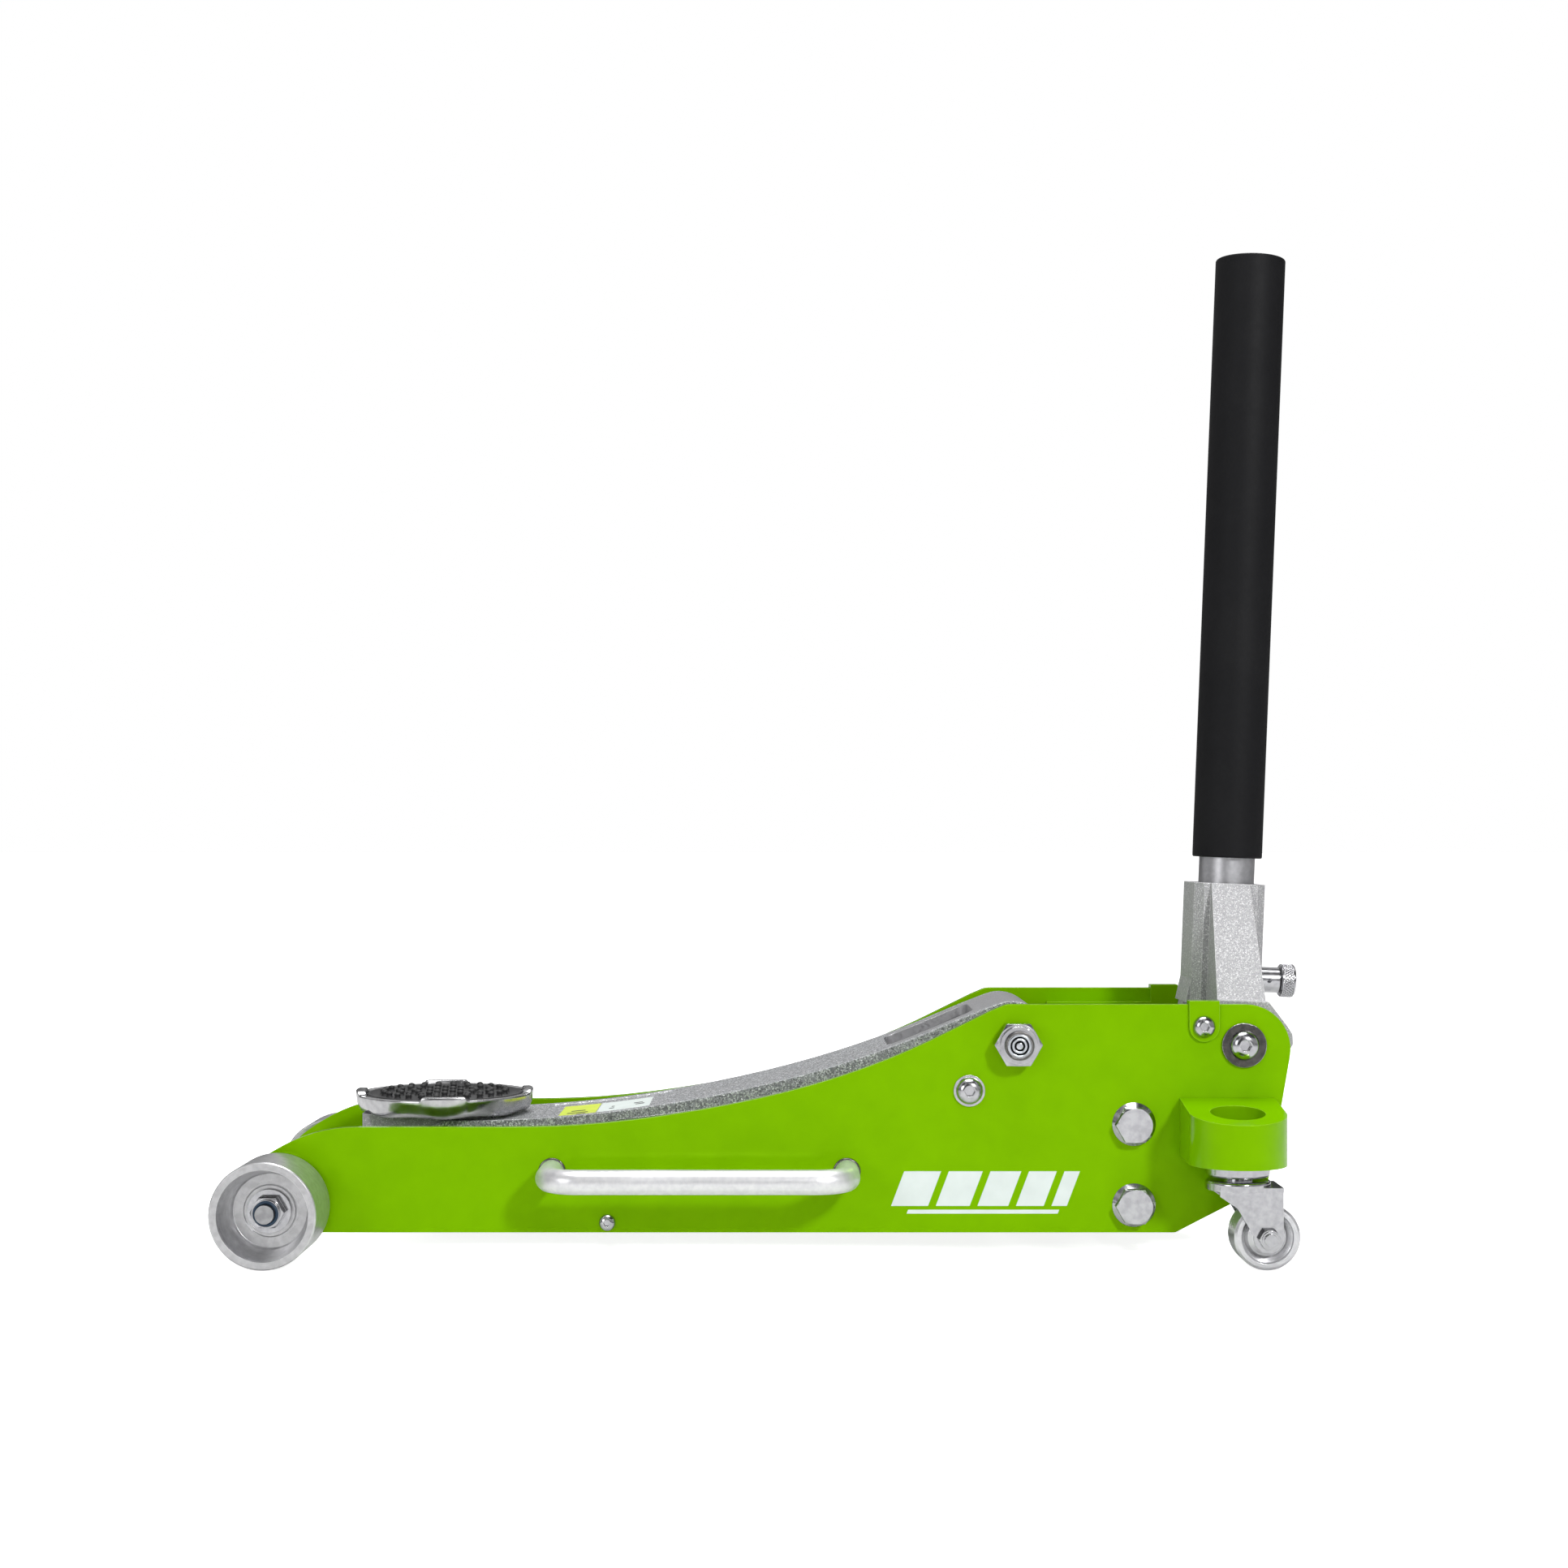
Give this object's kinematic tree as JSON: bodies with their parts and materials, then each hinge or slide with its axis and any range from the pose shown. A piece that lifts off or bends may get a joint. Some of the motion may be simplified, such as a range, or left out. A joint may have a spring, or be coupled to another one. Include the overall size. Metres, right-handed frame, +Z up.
{
  "type": "trolley jack",
  "caption": "Low-profile trolley jack with a long lift arm, round padded saddle, side carrying handles, rear swivel casters and an upright foam-sleeved pump handle.",
  "frame": {"origin": "on the ground under the middle of the jack's box", "axes": "+X from the saddle towards the handle, +Y to the side whose pivot bolt shows its head, +Z up"},
  "size_m": [0.7106, 0.3056, 0.6673],
  "materials": {
    "green_paint": "glossy powder coat",
    "arm_paint": "fine metallic speckle on a rough casting",
    "cast_metal": "blasted casting",
    "unit_paint": "satin",
    "polished_steel": "polished",
    "zinc_plate": "bright zinc plate",
    "plain_steel": "machined",
    "dark_plate": "dark nickel plate",
    "spring_steel": "drawn wire",
    "bush_bronze": "machined",
    "pad_rubber": "matt moulded rubber",
    "wheel_metal": "turned",
    "caster_metal": "turned",
    "satin_metal": "satin",
    "grip_foam": "fine foam sleeve"
  },
  "bodies": {
    "chassis": {"side_plate_left": "green_paint", "side_plate_right": "green_paint", "front_axle": "plain_steel", "front_wheel_nuts": "zinc_plate", "cross_brace": "plain_steel", "plate_screws": "zinc_plate", "arm_pivot_bolt": "zinc_plate", "arm_pivot_nut": "zinc_plate", "arm_spacers": "plain_steel", "tie_rod_bolts": "zinc_plate", "tie_rod_spacers": "plain_steel", "inner_nuts": "zinc_plate", "power_unit": "unit_paint", "oil_tank": "unit_paint", "ram_cylinder": "plain_steel", "power_unit_bolts": "zinc_plate", "pump_barrels": "plain_steel", "top_cover": "green_paint", "yoke_bolts": "zinc_plate", "yoke_washers": "dark_plate", "caster_bracket_left": "green_paint", "caster_bracket_right": "green_paint", "caster_stems": "zinc_plate", "carry_handle_left": "satin_metal", "carry_handle_right": "satin_metal", "carry_handle_screws": "zinc_plate", "return_springs": "spring_steel", "pump_springs": "spring_steel"},
    "arm": {"lift_arm": "arm_paint", "arm_bush": "bush_bronze", "crank_pin": "plain_steel", "crank_roller": "polished_steel", "saddle_block_pins": "plain_steel"},
    "saddle_carrier": {"saddle_block": "cast_metal", "tie_rod_pin": "plain_steel"},
    "saddle_top": {"saddle": "polished_steel", "saddle_pad": "pad_rubber", "saddle_clip": "plain_steel"},
    "tie_rods": {"tie_rod_left": "plain_steel", "tie_rod_right": "plain_steel"},
    "ram": {"ram_head": "plain_steel", "ram_rod": "polished_steel"},
    "yoke": {"yoke": "cast_metal", "pump_roller": "polished_steel", "pump_roller_pin": "plain_steel", "lock_bush": "zinc_plate"},
    "lock": {"lock_knob": "zinc_plate"},
    "handle": {"handle_tube": "satin_metal", "foam_grip": "grip_foam", "valve_driver": "plain_steel"},
    "valve": {"valve_stem": "plain_steel"},
    "pump": {"pump_pistons": "polished_steel"},
    "front_roller_left": {"front_wheel_left": "wheel_metal"},
    "front_roller_right": {"front_wheel_right": "wheel_metal"},
    "caster_left": {"caster_fork_left": "zinc_plate", "caster_axle_left": "zinc_plate"},
    "caster_right": {"caster_fork_right": "zinc_plate", "caster_axle_right": "zinc_plate"},
    "caster_roller_left": {"caster_wheel_left": "caster_metal"},
    "caster_roller_right": {"caster_wheel_right": "caster_metal"}
  },
  "joints": [
    {"name": "arm_lift", "type": "hinge", "parent": "chassis", "child": "arm", "pos_m": [0.15775, 0, 0.1383], "axis": [0, 1, 0], "range_deg": [0, 60]},
    {"name": "saddle_level", "type": "hinge", "parent": "arm", "child": "saddle_carrier", "pos_m": [-0.21625, 0, 0.062], "axis": [0, 1, 0], "range_deg": [-60, 0]},
    {"name": "saddle_spin", "type": "hinge", "parent": "saddle_carrier", "child": "saddle_top", "pos_m": [-0.22545, 0, 0.0865], "axis": [0, 0, 1], "continuous": true},
    {"name": "tie_rod_swing", "type": "hinge", "parent": "chassis", "child": "tie_rods", "pos_m": [0.12675, 0, 0.1078], "axis": [0, 1, 0], "range_deg": [0, 60]},
    {"name": "ram_slide", "type": "slide", "parent": "chassis", "child": "ram", "axis": [-1, 0, 0], "range_m": [0, 0.0581], "deforming": ["return_springs"]},
    {"name": "handle_pump", "type": "hinge", "parent": "chassis", "child": "yoke", "pos_m": [0.30495, 0, 0.1372], "axis": [0, 1, 0], "range_deg": [-5, 62]},
    {"name": "pump_slide", "type": "slide", "parent": "chassis", "child": "pump", "axis": [-0.1564, 0, -0.9877], "range_m": [-0.0018, 0.0207], "deforming": ["pump_springs"]},
    {"name": "handle_twist", "type": "hinge", "parent": "yoke", "child": "handle", "pos_m": [0.30495, 0, 0.1372], "axis": [0.0394, 0, 0.9992], "range_deg": [0, 180]},
    {"name": "valve_turn", "type": "hinge", "parent": "chassis", "child": "valve", "pos_m": [0.30495, 0, 0.1], "axis": [0, 0, 1], "range_deg": [0, 180]},
    {"name": "lock_pull", "type": "slide", "parent": "yoke", "child": "lock", "axis": [0.9992, 0, -0.0394], "range_m": [0, 0.006], "stiffness_N_per_m": 400, "springref_m": -0.006},
    {"name": "front_wheel_left_roll", "type": "hinge", "parent": "chassis", "child": "front_roller_left", "pos_m": [-0.32115, -0.11, 0.034], "axis": [0, 1, 0], "continuous": true},
    {"name": "caster_left_swivel", "type": "hinge", "parent": "chassis", "child": "caster_left", "pos_m": [0.29385, -0.122, 0.06], "axis": [0, 0, 1], "continuous": true},
    {"name": "caster_left_roll", "type": "hinge", "parent": "caster_left", "child": "caster_roller_left", "pos_m": [0.31035, -0.122, 0.02085], "axis": [0, 1, 0], "continuous": true},
    {"name": "front_wheel_right_roll", "type": "hinge", "parent": "chassis", "child": "front_roller_right", "pos_m": [-0.32115, 0.11, 0.034], "axis": [0, 1, 0], "continuous": true},
    {"name": "caster_right_swivel", "type": "hinge", "parent": "chassis", "child": "caster_right", "pos_m": [0.29385, 0.122, 0.06], "axis": [0, 0, 1], "continuous": true},
    {"name": "caster_right_roll", "type": "hinge", "parent": "caster_right", "child": "caster_roller_right", "pos_m": [0.31035, 0.122, 0.02085], "axis": [0, 1, 0], "continuous": true}
  ],
  "couplings": [
    {"joint": "saddle_level", "follows": "arm_lift", "ratio": -1},
    {"joint": "tie_rod_swing", "follows": "arm_lift", "ratio": 1},
    {"joint": "ram_slide", "follows": "arm_lift", "m_per_rad": 0.055386},
    {"joint": "pump_slide", "follows": "handle_pump", "m_per_rad": 0.019039},
    {"joint": "valve_turn", "follows": "handle_twist", "ratio": 1}
  ]
}
